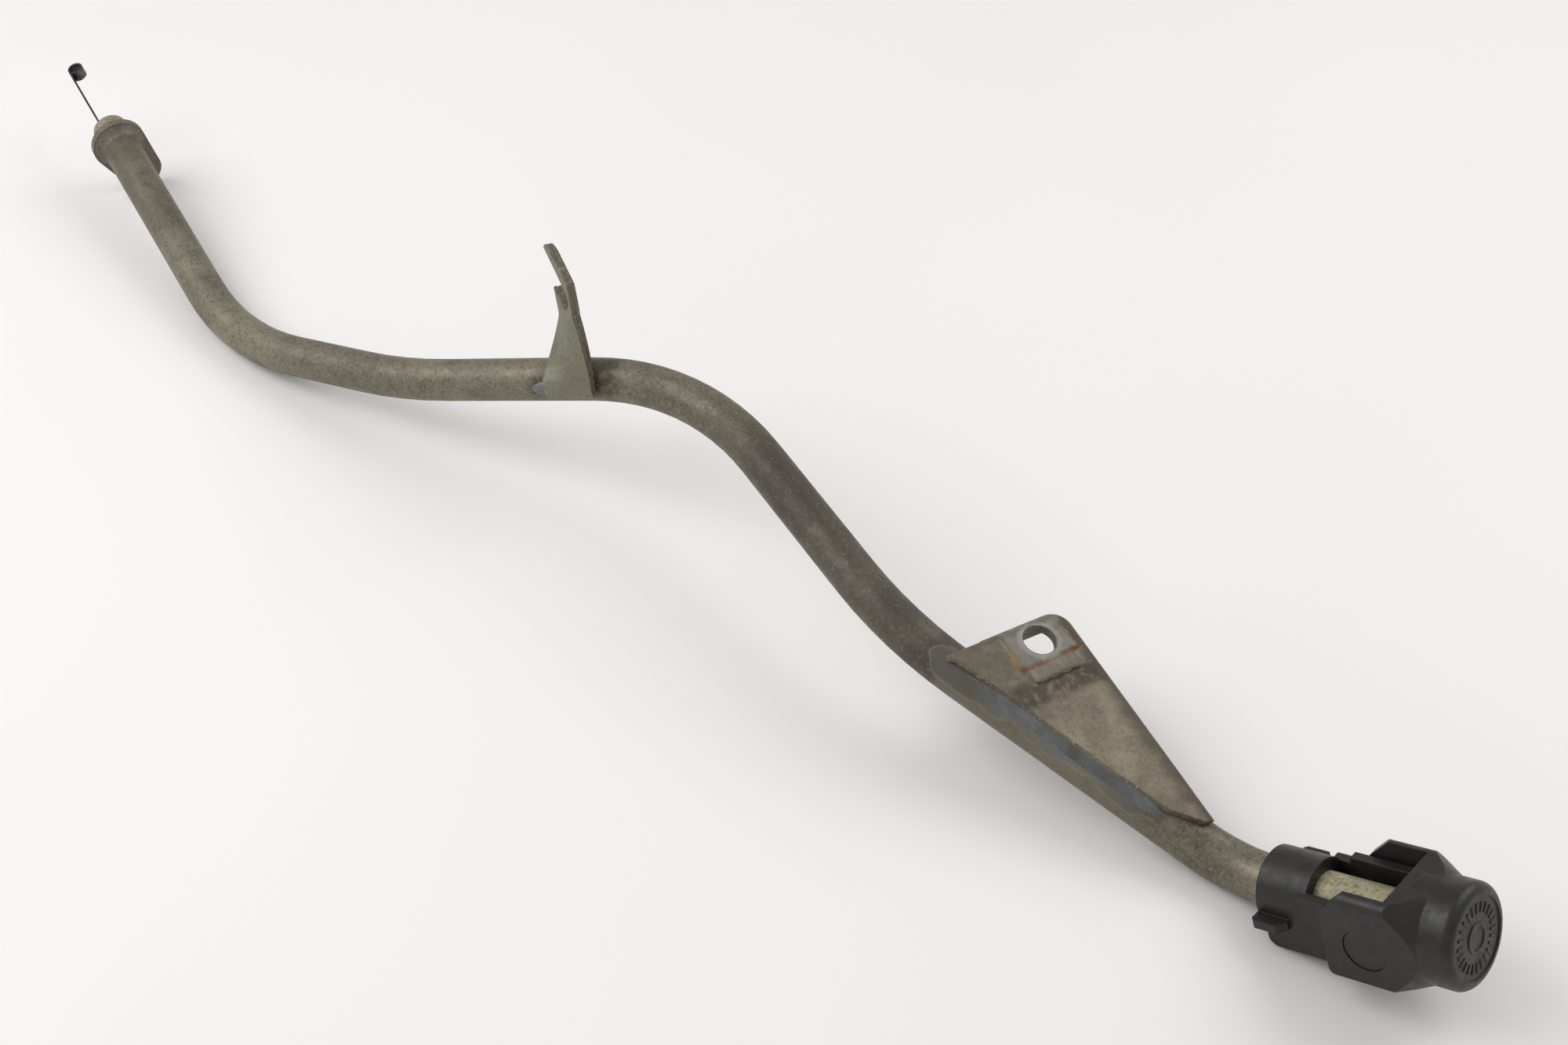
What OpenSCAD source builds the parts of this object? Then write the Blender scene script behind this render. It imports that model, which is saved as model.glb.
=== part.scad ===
// Oil dipstick in its bent steel guide tube, with two brazed brackets, a mounting flange and a
// hinged filler cap. Millimetres, +Z up, lying as it comes to rest on a flat surface.

/* [Guide tube] */
// Outside diameter of the tube
tube_d = 15; // [14:0.5:16]
// Wall thickness of the tube
tube_wall = 1.25; // [1:0.05:1.5]
// Outside diameter of the swaged end that enters the housing
spigot_d = 14; // [13.4:0.1:14.4]
// Corner-to-corner length from the spigot tip to bend 1
run_1 = 144; // [120:1:180]
// Corner-to-corner length from bend 1 to bend 2
run_2 = 87.5; // [80:0.5:120]
// Corner-to-corner length from bend 2 to bend 3
run_3 = 120; // [112:1:150]
// Corner-to-corner length from bend 3 to bend 4
run_4 = 121.5; // [100:0.5:150]
// Corner-to-corner length from bend 4 to bend 5
run_5 = 123.5; // [118:0.5:150]
// Distance from the corner of bend 5 to the open mouth of the tube
mouth_run = 60.5; // [60:0.1:61]
// Angle of bend 1
bend_1 = 33; // [25:0.5:40]
// Angle of bend 2
bend_2 = 12; // [8:0.5:16]
// Angle of bend 3
bend_3 = 44; // [35:0.5:50]
// Angle of bend 4
bend_4 = 21; // [15:0.5:28]
// Angle of bend 5
bend_5 = 36; // [28:0.5:37]
// Turn about the tube from the plane of bend 1 to that of bend 2
roll_1 = -14; // [-25:0.5:0]
// Turn about the tube from the plane of bend 2 to that of bend 3
roll_2 = -165.5; // [-175:0.5:-150]
// Turn about the tube from the plane of bend 3 to that of bend 4
roll_3 = 132.5; // [120:0.5:145]
// Turn about the tube from the plane of bend 4 to that of bend 5
roll_4 = 106.5; // [98:0.5:120]
// Centreline radius of bend 1
radius_1 = 110; // [60:1:120]
// Centreline radius of bend 2
radius_2 = 180; // [120:1:200]
// Centreline radius of bend 3
radius_3 = 100; // [60:1:105]
// Centreline radius of bend 4
radius_4 = 130; // [80:1:140]
// Centreline radius of bend 5
radius_5 = 42; // [36:1:42]

/* [Lower flange] */
// Distance from the spigot tip to the flange
flange_at = 9; // [7:0.5:14]
// Thickness of the flange plate
flange_t = 3; // [2:0.5:4]
// Diameter of the round part about the tube
flange_d = 22; // [20:0.5:25]
// Width of the ear about its bolt hole
ear_d = 17.4; // [15:0.1:20]
// Distance from the tube axis to the bolt hole
ear_reach = 16.3; // [16:0.1:18]
// Diameter of the bolt hole in the ear
ear_hole_d = 8.4; // [6.4:0.1:9]
// Direction of the ear about the tube, from the plane of bend 1
ear_clock = 168; // [150:1:180]

/* [Middle bracket] */
// Distance of the bracket's middle from the corner of bend 2
hook_at = 74.5; // [60:0.5:75]
// Thickness of the bracket's sheet
hook_t = 3; // [2.5:0.1:3.5]
// Width of the foot along the tube
hook_w = 20; // [18:0.5:22]
// How far round the tube the foot wraps
hook_wrap = 40; // [35:1:60]
// Direction of the foot about the tube, from the plane of bend 3
hook_clock = -154.5; // [-170:0.5:-140]
// Height at which the twisted shank meets the fork
hook_rise = 23.1; // [20:0.1:28]
// Sideways lean of the shank over its length
hook_lean = 0.8; // [0:0.1:5]
// How far the shank's free edge draws in up to the fork
hook_taper = 5.8; // [0:0.1:6.5]
// Twist of the shank from foot to fork
hook_twist = 39.7; // [34:0.1:46]
// Width of the open slot for the clamp bolt
slot_w = 6.2; // [5.4:0.1:6.6]
// Angle of the slot to the shank's width
slot_tilt = 45.8; // [38:0.1:50]
// Length of the slot from its round end to the short arm's tip
slot_depth = 9.9; // [8:0.1:12]
// How much longer the upper arm of the fork is
arm_extra = 12.8; // [8:0.1:16]
// Width of the long arm
arm_w = 4; // [3.5:0.1:5]
// Tilt of the fork plate against the shank
fork_tilt = 7.5; // [0:0.1:12]

/* [Upper bracket] */
// Thickness of the pressed sheet
plate_t = 2; // [1.5:0.1:2.5]
// Start of the bracket, from the corner of bend 4
plate_at = 17; // [14:0.5:20]
// Length of the bracket along the tube
plate_run = 93.5; // [85:0.5:96]
// Reach of the bracket from the tube axis
plate_reach = 36.3; // [32:0.1:40]
// Radius of the corner beyond the bolt hole
plate_corner_r = 6.8; // [6:0.1:9]
// Depth of the turned-down rim
rim_depth = 10; // [7:0.5:12]
// Outer radius of the bend into the rim
rim_r = 4; // [3:0.1:4.2]
// Diameter of the bolt hole
bolt_hole_d = 10.5; // [8.4:0.1:11]
// Distance of the bolt hole along the tube from the start of the bracket
bolt_hole_x = 19.3; // [18:0.1:21]
// Distance of the bolt hole from the tube axis
bolt_hole_y = 20.4; // [19:0.1:23]
// Width of the raised pad about the hole
pad_w = 12.4; // [11.5:0.1:14]
// Length of the pad
pad_len = 20; // [17:0.5:20]
// Height of the pad
pad_rise = 1.2; // [0.6:0.1:1.6]
// Direction of the bracket's face about the tube, from the plane of bend 5
plate_clock = -97.5; // [-110:0.5:-85]

/* [Cap collar] */
// Start of the collar, from the corner of bend 5
collar_at = 14; // [13.7:0.1:15]
// Outside diameter of the collar's sleeve
collar_d = 22.8; // [21:0.1:23]
// Length of the sleeve
sleeve_len = 16; // [14:0.5:17]
// Clearance between the collar and the tube, on the radius
collar_gap = 0.05; // [0.02:0.01:0.1]
// Thickness of the side walls that carry the pivots
wall_t = 3; // [2.2:0.1:3.2]
// Height of the side walls above the tube axis
wall_top = 7; // [5:0.5:8]
// Depth of the keel under the sleeve
keel_depth = 13; // [12:0.5:14]
// Length of the keel
keel_len = 20.5; // [16:0.5:21]
// Thickness of the keel's floor
keel_t = 2.5; // [2:0.1:3]
// Length of the side fins
fin_len = 10.5; // [8:0.5:12]
// Reach of the fins from the tube axis
fin_reach = 15.5; // [13:0.5:17]
// Thickness of the fins
fin_t = 2.7; // [2:0.1:3.5]

/* [Filler cap] */
// Clearance between the collar's side walls and the cheeks
cheek_gap = 0.6; // [0.4:0.1:1]
// Height of the flat top over the tube axis
cap_top = 14.8; // [14.6:0.1:15.2]
// Depth of the cheeks below the tube axis
cap_drop = 13; // [12:0.5:14]
// Thickness of the cheeks
cheek_t = 3.5; // [3:0.1:3.6]
// Thickness of the web over the mouth
web_t = 2.8; // [2:0.1:2.9]
// Rear edge of the cheeks, from the corner of bend 5
cheek_at = 38; // [37.5:0.5:40]
// Rear edge of the web over the mouth, from the corner of bend 5
web_at = 57.4; // [56.5:0.1:58]
// Flat end of the cap, from the corner of bend 5
cap_end = 76.6; // [75:0.1:79]
// Diameter of the round end
cap_d = 30.5; // [29:0.1:30.6]
// Edge radius of the round end
cap_edge_r = 3; // [2:0.1:3.5]
// Length of the round end
round_len = 9.5; // [8:0.5:10]
// Wall at the closed end
cap_end_t = 3; // [2:0.1:4]
// Radius of the cheeks' top edges
shoulder_r = 3.3; // [2:0.1:3.4]
// Direction of the cap's flat top about the tube, from the plane of bend 5
cap_clock = -100.5; // [-110:0.5:-90]
// Number of raised grip ticks on the end face
tick_count = 24; // [12:1:36]

/* [Hinge] */
// Diameter of the pivots
pivot_d = 13; // [11:0.1:13.4]
// Clearance of the pivots in the cheeks, on the radius
pivot_gap = 0.1; // [0.03:0.01:0.1]
// Pivot axis, from the corner of bend 5
pivot_at = 50.8; // [50.4:0.1:51]
// Depth of the pivot axis below the tube axis
pivot_drop = 1.5; // [1:0.1:2]

/* [Dipstick] */
// Width of the spring-steel blade
blade_w = 4.5; // [3.5:0.1:5.5]
// Thickness of the blade
blade_t = 0.8; // [0.6:0.05:0.9]
// Length of blade that stands out of the spigot
blade_out = 43; // [20:1:50]
// Outside diameter of the curl at the tip
curl_d = 6.4; // [5:0.1:8]
// Direction of the blade's width at the spigot, from the plane of bend 1
blade_clock = -20; // [-45:1:20]
// Length of the stopper below the mouth
stopper_len = 10.5; // [8:0.5:14]
// Clearance of the stopper in the tube, on the radius
stopper_gap = 0.3; // [0.2:0.05:0.5]
// Clearance of the blade in the stopper's slot
blade_gap = 0.02; // [0.01:0.01:0.05]
// Thickness of the stopper's head
head_t = 1.7; // [1.2:0.1:1.9]
// Section diameter of the sealing ring
ring_d = 1.8; // [1.5:0.1:2]
// Clearance between the stopper's head and the rubber pad
pad_gap = 1.6; // [1.2:0.1:1.6]

/* [Resting place] */
// Spigot tip along X
start_x = -297.72; // [-300:0.01:-290]
// Spigot tip along Y
start_y = 11.11; // [-20:0.01:40]
// Height of the spigot tip's centre
start_z = 25.02; // [20:0.01:60]
// Heading of the first run
start_yaw = -17; // [-30:0.5:0]
// Slope of the first run
start_pitch = -8.09; // [-12:0.01:0]
// Roll of the first bend's plane
start_roll = -53.57; // [-60:0.01:-45]

/* [Hidden] */
$fn = 64;

tube_r = tube_d / 2;
bore_r = tube_r - tube_wall;
run_len = [run_1, run_2, run_3, run_4, run_5, mouth_run];
bend_deg = [bend_1, bend_2, bend_3, bend_4, bend_5];
roll_deg = [roll_1, roll_2, roll_3, roll_4];
bend_r = [radius_1, radius_2, radius_3, radius_4, radius_5];

// A vector turned about a unit axis
function turned(v, axis, deg) =
    v * cos(deg) + cross(axis, v) * sin(deg) + axis * (axis * v) * (1 - cos(deg));

start_dir = [cos(start_pitch) * cos(start_yaw), cos(start_pitch) * sin(start_yaw), sin(start_pitch)];
level = cross(start_dir, [0, 0, 1]);
start_normal = turned(level / norm(level), start_dir, start_roll);

// Each run as [its first corner, its heading, the normal of the bend at its far end]
function chain(i, p, d, n) =
    i == 5 ? [[p, d, n]] :
    let (next_d = turned(d, n, bend_deg[i]), next_p = p + run_len[i] * d)
    concat([[p, d, n]], chain(i + 1, next_p, next_d, i < 4 ? turned(n, next_d, roll_deg[i]) : n));
runs = chain(0, [start_x, start_y, start_z], start_dir, start_normal);

// Length that a bend takes from each of its two runs
function setback(i) = i < 0 || i > 4 ? 0 : bend_r[i] * tan(bend_deg[i] / 2);

// A frame with x, y and z axes at a place
module placed(p, x, y, z) {
    multmatrix([[x[0], y[0], z[0], p[0]], [x[1], y[1], z[1], p[1]], [x[2], y[2], z[2], p[2]], [0, 0, 0, 1]])
        children();
}

// Straight length of a run between its two bends
function straight(i) = run_len[i] - setback(i - 1) - setback(i);

// Turn about the tube from the plane of bend 1 to the plane of the bend that ends run i
function roll_sum(i) = i == 0 ? 0 : roll_sum(i - 1) + (i < 5 ? roll_deg[i - 1] : 0);

// Start of a run's straight length, with x along the tube and no twist from run to run
module run_start(i) {
    if (i == 0)
        placed([start_x, start_y, start_z], start_dir, cross(start_normal, start_dir), start_normal)
            children();
    else
        run_start(i - 1) translate([straight(i - 1), 0, 0]) rotate([roll_sum(i - 1), 0, 0])
            translate([0, bend_r[i - 1], 0]) rotate([0, 0, bend_deg[i - 1]])
                translate([0, -bend_r[i - 1], 0]) rotate([-roll_sum(i - 1), 0, 0]) children();
}

// A place on a run, measured from its first corner, with z at the clock angle from the bend's normal
module on_run(i, at, clock) {
    run_start(i) translate([at - setback(i - 1), 0, 0]) rotate([roll_sum(i) + clock, 0, 0]) children();
}

// A round or ring-shaped bar along x
module bar_x(r, x0, x1, hole = 0) {
    translate([x0, 0, 0]) rotate([90, 0, 90]) linear_extrude(x1 - x0) difference() {
        circle(r);
        if (hole > 0) circle(hole);
    }
}

// A plate of the given outline in x and z, between two values of y
module slab_y(y0, y1) {
    translate([0, y1, 0]) rotate([90, 0, 0]) linear_extrude(y1 - y0) children();
}

module tube_section() {
    difference() {
        circle(tube_r);
        circle(bore_r);
    }
}

module guide_tube() {
    $fn = 48;
    color("#8a8670") {
        run_start(0) bar_x(spigot_d / 2, 0, flange_at, spigot_d / 2 - tube_wall);
        run_start(0) bar_x(tube_r, flange_at, straight(0), bore_r);
        for (i = [1 : 5]) run_start(i) bar_x(tube_r, 0, straight(i), bore_r);
        for (i = [0 : 4]) run_start(i) translate([straight(i), 0, 0]) rotate([roll_sum(i), 0, 0])
            translate([0, bend_r[i], 0]) rotate([0, 0, -90]) rotate_extrude(angle = bend_deg[i])
                translate([bend_r[i], 0]) rotate(180 + roll_sum(i)) tube_section();
    }
}

module lower_flange() {
    color("#6e685c") on_run(0, flange_at, ear_clock)
        rotate([90, 0, 90]) linear_extrude(flange_t) difference() {
            union() {
                circle(d = flange_d);
                translate([0, ear_reach]) circle(d = ear_d);
                lean = acos((flange_d - ear_d) / 2 / ear_reach);
                tip = [sin(lean), cos(lean)];
                tip_left = [-tip[0], tip[1]];
                polygon([tip_left * flange_d / 2, tip * flange_d / 2, [0, ear_reach] + tip * ear_d / 2,
                    [0, ear_reach] + tip_left * ear_d / 2]);
            }
            circle(tube_r);
            translate([0, ear_reach]) circle(d = ear_hole_d);
        }
}

// Fillet of brazing metal between the tube and the back of the flange
module flange_braze() {
    leg = (flange_d / 2 - tube_r) * 0.8;
    color("#6f7480") on_run(0, flange_at + flange_t, 0) rotate([0, 90, 0])
        rotate_extrude() polygon([[tube_r, 0], [tube_r + leg, 0], [tube_r + leg * 0.35, leg * 0.45],
            [tube_r, leg * 1.4]]);
}

hook_mid = tube_r + hook_t / 2;
foot_steps = 8;
shank_steps = 8;
// Four corners of the foot's section, at an angle below the front of the tube
function foot_ring(a) =
    let (in_r = tube_r / cos(hook_wrap / foot_steps / 2), w = [hook_w / 2, 0, 0], out = [0, -sin(a), cos(a)])
    [out * in_r - w, out * in_r + w, out * (in_r + hook_t) + w, out * (in_r + hook_t) - w];
// Four corners of the shank's section at a height, turned about y as it climbs, a little smaller in the fork
function shank_ring(y) =
    let (e = min(1, y / (hook_rise - 1)), a = hook_twist * e, c = [hook_lean * e, y, hook_mid],
        w = [cos(a), 0, sin(a)], t = [-sin(a), 0, cos(a)] * (hook_t / 2 - 0.2 * e),
        right = w * (hook_w / 2 - 0.2 * e), left = w * (hook_w / 2 - 0.2 * e - hook_taper * y / hook_rise))
    [c - left - t, c + right - t, c + right + t, c - left + t];

// Solid swept through rings of points; in each ring, point k faces the one k places from its end
module swept(rings) {
    n = len(rings[0]);
    last = n * (len(rings) - 1);
    polyhedron([for (ring = rings) for (p = ring) p], concat(
        [for (k = [0 : n / 2 - 2]) [n - 1 - k, n - 2 - k, k + 1, k]],
        [for (i = [0 : len(rings) - 2]) for (k = [0 : n - 1]) let (a = n * i + k, b = n * i + (k + 1) % n)
            each [[a, b, b + n], [a, b + n, a + n]]],
        [for (k = [0 : n / 2 - 2]) [last + k, last + k + 1, last + n - 2 - k, last + n - 1 - k]]));
}

// Fork plate: an open slot between a short arm and a long one
function fork_point(along, across) = slot_root + slot_along * along + slot_across * across;
module fork_outline() {
    half = slot_w / 2;
    tip = slot_depth + arm_extra;
    difference() {
        polygon([[hook_taper - hook_w / 2, -1], [hook_w / 2, -1], [hook_w / 2, 0],
            fork_point(0.8, half + arm_w), fork_point(tip - 7, half + arm_w * 0.95),
            fork_point(tip - 2.5, half + arm_w * 0.75), fork_point(tip, half + arm_w * 0.45),
            fork_point(tip, half - 1), fork_point(slot_depth, half - 1), fork_point(slot_depth, -half - 0.8),
            [hook_taper - hook_w / 2, 0]]);
        translate(slot_root) rotate(180 - slot_tilt) {
            circle(half);
            translate([0, -half]) square([tip + 5, slot_w]);
        }
    }
}
slot_along = [-cos(slot_tilt), sin(slot_tilt)];
slot_across = [sin(slot_tilt), cos(slot_tilt)];
slot_root = [hook_w / 2 - slot_w + 0.5, 4.3];

module mid_bracket() {
    color("#8d8d78") on_run(2, hook_at, hook_clock) {
        // Foot that wraps the front of the tube, then the shank
        swept(concat([for (i = [foot_steps : -1 : 1]) foot_ring(i * hook_wrap / foot_steps)],
            [for (i = [0 : shank_steps]) shank_ring((hook_rise - 1) * i / shank_steps)],
            [shank_ring(hook_rise + 1.2)]));
        x = [cos(hook_twist), 0, sin(hook_twist)];
        z = turned([-sin(hook_twist), 0, cos(hook_twist)], x, fork_tilt);
        placed([hook_lean, hook_rise, hook_mid], x, cross(z, x), z)
            translate([0, 0, -hook_t / 2]) linear_extrude(hook_t) fork_outline();
    }
}

// Bead of brazing metal along one end of the foot
module mid_braze() {
    color("#6f7480") on_run(2, hook_at, hook_clock) rotate([0, 90, 0]) rotate([0, 0, 180 - hook_wrap])
        rotate_extrude(angle = hook_wrap) translate([tube_r, -hook_w / 2])
            polygon([[0, 0], [0, -2.6], [0.9, -1.3], [hook_t * 0.8, 0]]);
}

// Upper bracket, seen from above: x along the tube, y away from it
seat_gap = 0.02;
plate_low = tube_r;
plate_high = tube_r + plate_t;
seam_y = -3.5;
seam_end = plate_at + plate_run - 12.5;
corner = [plate_at + bolt_hole_x + 0.9, plate_reach - plate_corner_r];
left_foot = [plate_at, seam_y];
back_foot = [plate_at + plate_run, 5];
// Heading of a line from a point that passes a circle at a side: 1 leaves it on the right
function tangent_heading(p, c, r, side) =
    let (v = c - p) atan2(v[1], v[0]) + side * asin(r / norm(v));
left_heading = tangent_heading(left_foot, corner, plate_corner_r, 1);
back_heading = tangent_heading(back_foot, corner, plate_corner_r, -1);
rim_turn = left_heading - back_heading + 180;
// Length along a heading from a point to the foot of the perpendicular from the corner
function way_to_corner(p, heading) = (corner - p) * [cos(heading), sin(heading)];
left_len = way_to_corner(left_foot, left_heading);
back_len = way_to_corner(back_foot, back_heading);

// Rim section as [reach, height] from the corner's axis: along the underside, down, and back over the top
rim_steps = 9;
rim_knee = plate_corner_r - rim_r;
function rim_arc(r) = [for (k = [0 : rim_steps]) let (a = 90 * k / rim_steps)
    [rim_knee + r * sin(a), plate_high - rim_r + r * cos(a)]];
function backwards(list) = [for (k = [len(list) - 1 : -1 : 0]) list[k]];
rim_bottom = plate_high - rim_depth;
rim_section = concat([[rim_knee - 1.5, plate_low]], rim_arc(rim_r - plate_t),
    [[plate_corner_r - plate_t, rim_bottom], [plate_corner_r, rim_bottom]], backwards(rim_arc(rim_r)),
    [[rim_knee - 1.5, plate_high]]);
// The section some way back from the corner, on a heading, with its reach on another
function rim_ring(back, heading, out) =
    let (c = corner - back * [cos(heading), sin(heading)])
    [for (q = rim_section) [c[0] + q[0] * cos(out), c[1] + q[0] * sin(out), q[1]]];

// Flat of the plate, up to a little way inside the rim's bend
module flat_outline() {
    inset = rim_r + 0.5;
    l = [cos(left_heading), sin(left_heading)];
    b = [cos(back_heading), sin(back_heading)];
    left_in = [l[1], -l[0]] * inset;
    back_in = [-b[1], b[0]] * inset;
    polygon([left_foot + left_in - l * left_in[1] / l[1], left_foot + left_in + l * left_len, corner,
        back_foot + back_in + b * back_len, back_foot + back_in, [seam_end, seam_y]]);
    translate(corner) circle(plate_corner_r - inset);
}

module upper_bracket() {
    color("#8f8b70") on_run(4, 0, plate_clock) difference() {
        union() {
            translate([0, 0, plate_low]) linear_extrude(plate_t) flat_outline();
            // Rim along the back, round the corner and down the left side
            swept(concat([rim_ring(back_len, back_heading, back_heading - 90)],
                [for (k = [0 : 12]) rim_ring(0, 0, back_heading - 90 + rim_turn * k / 12)],
                [rim_ring(left_len, left_heading, left_heading + 90)]));
            translate([plate_at + bolt_hole_x, bolt_hole_y, plate_high - 1]) rotate([0, 0, left_heading])
                translate([-pad_len * 0.6, -pad_w / 2, 0]) cube([pad_len, pad_w, pad_rise + 1]);
        }
        translate([plate_at + bolt_hole_x, bolt_hole_y, 0]) cylinder(d = bolt_hole_d, h = 30);
        // Room for the tube under the plate
        translate([plate_at - 5, -20, plate_low - 30])
            cube([plate_run + 20, 20 + tube_r + 0.8, 30 + seat_gap]);
    }
}

// Bead of brazing metal along the seam between the tube and the plate's edge
module upper_braze() {
    bead_len = seam_end - 0.5 - setback(3);
    low = plate_low - 2.6;
    color("#6f7480") on_run(4, 0, plate_clock)
        translate([setback(3), 0, 0]) rotate([90, 0, 90]) linear_extrude(bead_len) difference() {
            polygon([[-1.2, plate_low], [seam_y, plate_low], [seam_y, plate_low + 1.3],
                [seam_y - 1.2, plate_low - 0.2], [seam_y - 2.2, low], [-1.2, low]]);
            circle(tube_r);
        }
}

inner_y = collar_d / 2 - wall_t;
slot_y = collar_d / 2 + cheek_gap;
cap_w = 2 * (slot_y + cheek_t);
keel_at = collar_at + 2;
sleeve_end = collar_at + sleeve_len;
module cap_collar() {
    color("#26272a") on_run(5, 0, cap_clock) difference() {
        union() {
            bar_x(collar_d / 2, collar_at, sleeve_end);
            slab_y(-collar_d / 2, collar_d / 2) {
                translate([keel_at, -keel_depth + 3]) square([keel_len, keel_depth - 3]);
                translate([keel_at + 3, -keel_depth]) square([keel_len - 3, 4]);
                translate([keel_at + 3, -keel_depth + 3]) circle(3);
            }
            for (side = [-1, 1]) translate([0, side * (collar_d / 2 - wall_t / 2), 0])
                slab_y(-wall_t / 2, wall_t / 2) {
                    translate([sleeve_end - 2, -8]) square([pivot_at - sleeve_end + 2, wall_top + 8]);
                    if (side > 0)
                        translate([keel_at + 18, 0]) square([pivot_at - keel_at - 12, wall_top + 1.8]);
                    translate([pivot_at, -pivot_drop]) circle(pivot_d / 2 + 2.5);
                }
            translate([pivot_at, 0, -pivot_drop]) rotate([90, 0, 0])
                cylinder(d = pivot_d, h = cap_w - 0.6, center = true);
            // Fins to each side of the sleeve
            for (side = [-1, 1]) translate([collar_at, 0, side > 0 ? 0 : -4.7]) linear_extrude(fin_t)
                polygon([[0, 0], [0, side * (fin_reach - 1)], [1, side * fin_reach],
                    [fin_len - 2.5, side * fin_reach], [fin_len, side * (fin_reach - 3)], [fin_len, 0]]);
        }
        bar_x(tube_r + collar_gap, collar_at - 1, sleeve_end + 5);
        slab_y(-inner_y, inner_y) translate([sleeve_end, -keel_depth + keel_t]) square([60, 60]);
    }
}

cavity_at = mouth_run + 0.5;
cavity_end = cap_end - cap_end_t;
cavity_r = cap_d / 2 - 3.25;
cone_end = cap_end - round_len;
module flip_cap() {
    color("#222326") on_run(5, 0, cap_clock) {
        difference() {
            union() {
                intersection() {
                    // Side view of the cheeks
                    slab_y(-cap_w / 2, cap_w / 2) {
                        polygon([[cheek_at + 2, -cap_drop], [cone_end, -cap_drop], [cone_end, cap_top],
                            [cheek_at + 7, cap_top], [cheek_at, cap_top - 6.5], [cheek_at, 2 - cap_drop]]);
                        translate([cheek_at + 2, 2 - cap_drop]) circle(2);
                    }
                    // End view, with a flat top and rounded shoulders
                    translate([cheek_at - 1, 0, 0]) rotate([90, 0, 90]) linear_extrude(cap_end - cheek_at) {
                        translate([-cap_w / 2, -cap_drop]) square([cap_w, cap_drop + cap_top - shoulder_r]);
                        translate([-cap_w / 2 + shoulder_r, 0]) square([cap_w - 2 * shoulder_r, cap_top]);
                        for (side = [-1, 1])
                            translate([side * (cap_w / 2 - shoulder_r), cap_top - shoulder_r])
                                circle(shoulder_r);
                    }
                    // Taper from the cheeks to the round end
                    rotate([0, 90, 0]) rotate_extrude() polygon([[0, 0], [22, 0],
                        [22, cone_end - (22 - cap_d / 2) / 0.565], [cap_d / 2, cone_end], [0, cone_end]]);
                }
                rotate([0, 90, 0]) rotate_extrude() {
                    translate([0, cavity_at]) square([cap_d / 2, cap_end - cap_edge_r - cavity_at]);
                    translate([0, cavity_at]) square([cap_d / 2 - cap_edge_r, cap_end - cavity_at]);
                    translate([cap_d / 2 - cap_edge_r, cap_end - cap_edge_r]) circle(cap_edge_r);
                }
            }
            slab_y(-slot_y, slot_y) {
                translate([cheek_at - 2, -cap_drop - 5])
                    square([cavity_at - cheek_at + 2, cap_top - web_t + cap_drop + 5]);
                translate([cheek_at - 2, 0]) square([web_at - cheek_at + 2, cap_top + 5]);
            }
            bar_x(cavity_r, cavity_at - 0.1, cavity_end);
            translate([pivot_at, 0, -pivot_drop]) rotate([90, 0, 0])
                cylinder(r = pivot_d / 2 + pivot_gap, h = 2 * cap_w, center = true);
            bar_x(cap_d / 2 - 3.4, cap_end - 0.4, cap_end + 1);
        }
        // Plain ring and grip ticks on the recessed end
        bar_x(4.5, cap_end - 0.5, cap_end - 0.1, 3.5);
        for (i = [1 : tick_count]) rotate([i * 360 / tick_count, 0, 0])
            translate([cap_end - 0.5, -0.4, 7.2]) cube([0.4, 0.8, 2.8]);
    }
}

module cap_seal() {
    color("#2d2a2a") on_run(5, 0, 0) bar_x(cavity_r - 0.2, mouth_run + head_t + pad_gap, cavity_end);
}

// Share of the way from 0 to 1, slow at both ends
function ease(u) = let (v = max(0, min(1, u))) v * v * (3 - 2 * v);
// Twist of the blade along a run: the least turn that brings it flat to the next bend
function blade_twist(i) = roll_deg[i - 1] - 180 * round(roll_deg[i - 1] / 180);
// Direction of the blade's width through bend i
function blade_dir(i) = i == 0 ? runs[0][2] : turned(blade_dir(i - 1), runs[i][1], blade_twist(i));
function blade_ring(c, w, d) =
    let (half = w * blade_w / 2, t = cross(w, d) * blade_t / 2)
    [c - half - t, c + half - t, c + half + t, c - half + t];
blade_side = turned(runs[0][2], runs[0][1], 70) * 2.6;
blade_stop = mouth_run - stopper_len + 5.5;
// First run: from beyond the spigot to bend 1
function first_ring(s) =
    let (u = ease((s - 5) / (run_len[0] - setback(0) - 5)), d = runs[0][1])
    blade_ring(runs[0][0] + s * d + blade_side * (1 - u), turned(runs[0][2], d, blade_clock * (1 - u)), d);
// Curl at the tip, rolled back on itself
function curl_ring(a) =
    let (d = runs[0][1], w = turned(runs[0][2], d, blade_clock), b = cross(w, d), r = (curl_d - blade_t) / 2,
        c = runs[0][0] - blade_out * d + blade_side + r * b)
    blade_ring(c - r * (b * cos(a) + d * sin(a)), w, d * cos(a) - b * sin(a));
function bend_ring(i, a) =
    let (d = runs[i][1], n = runs[i][2], out = cross(d, n),
        c = runs[i][0] + (run_len[i] - setback(i)) * d - bend_r[i] * out)
    blade_ring(c + bend_r[i] * turned(out, n, a), blade_dir(i), turned(d, n, a));
function run_ring(i, u) =
    let (a = setback(i - 1), b = i == 5 ? blade_stop : run_len[i] - setback(i), d = runs[i][1],
        w = i == 5 ? blade_dir(4) : turned(blade_dir(i - 1), d, blade_twist(i) * u))
    blade_ring(runs[i][0] + (a + (b - a) * u) * d, w, d);

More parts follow.
